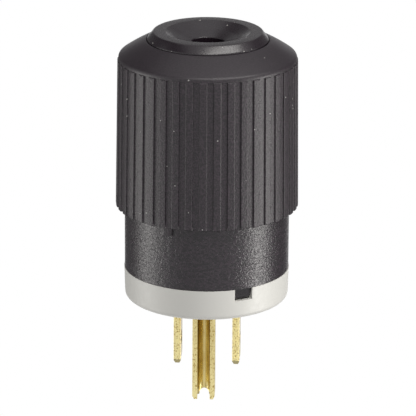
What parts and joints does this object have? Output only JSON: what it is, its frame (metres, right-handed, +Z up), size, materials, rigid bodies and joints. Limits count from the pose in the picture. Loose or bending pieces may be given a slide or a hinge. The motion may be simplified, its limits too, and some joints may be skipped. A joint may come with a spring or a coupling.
{
  "type": "type b plug",
  "caption": "Rewireable three-pin plug: flat blades, U ground pin, white front face, black body, ribbed grip shell and rubber cord gland.",
  "frame": {"origin": "centre of the mating face, on the plug's axis", "axes": "+Z up along the plug's axis, from the cord gland to the pins; -Y towards the ground pin's side; X across the two blades, -X at the line blade"},
  "size_m": [0.0388, 0.0388, 0.0788],
  "materials": {
    "white_nylon": "satin moulded nylon",
    "black_nylon": "leather-grained moulded nylon",
    "ribbed_black_nylon": "finely grained moulded nylon",
    "grey_nylon": "plain moulded nylon",
    "black_rubber": "smooth moulded rubber",
    "brass": "bare rolled brass",
    "nickel_plated_steel": "nickel-plated steel",
    "green_screw": "green-dyed steel screw",
    "red_fibre": "pressed vulcanised fibre"
  },
  "bodies": {
    "root": {"front_face": "white_nylon", "terminal_body": "black_nylon", "grip_shell": "ribbed_black_nylon", "cord_gland": "black_rubber", "ground_pin": "brass", "ground_clamp_plate": "brass", "ground_terminal_screw": "green_screw", "line_blade": "brass", "line_clamp_plate": "brass", "line_terminal_screw": "brass", "neutral_blade": "brass", "neutral_clamp_plate": "brass", "neutral_terminal_screw": "nickel_plated_steel", "cord_jaw_right": "grey_nylon", "cord_jaw_left": "grey_nylon", "assembly_screw_right": "nickel_plated_steel", "assembly_screw_left": "nickel_plated_steel", "screw_washer_right": "red_fibre", "screw_washer_left": "red_fibre", "threaded_insert_right": "brass", "threaded_insert_left": "brass"}
  },
  "joints": []
}
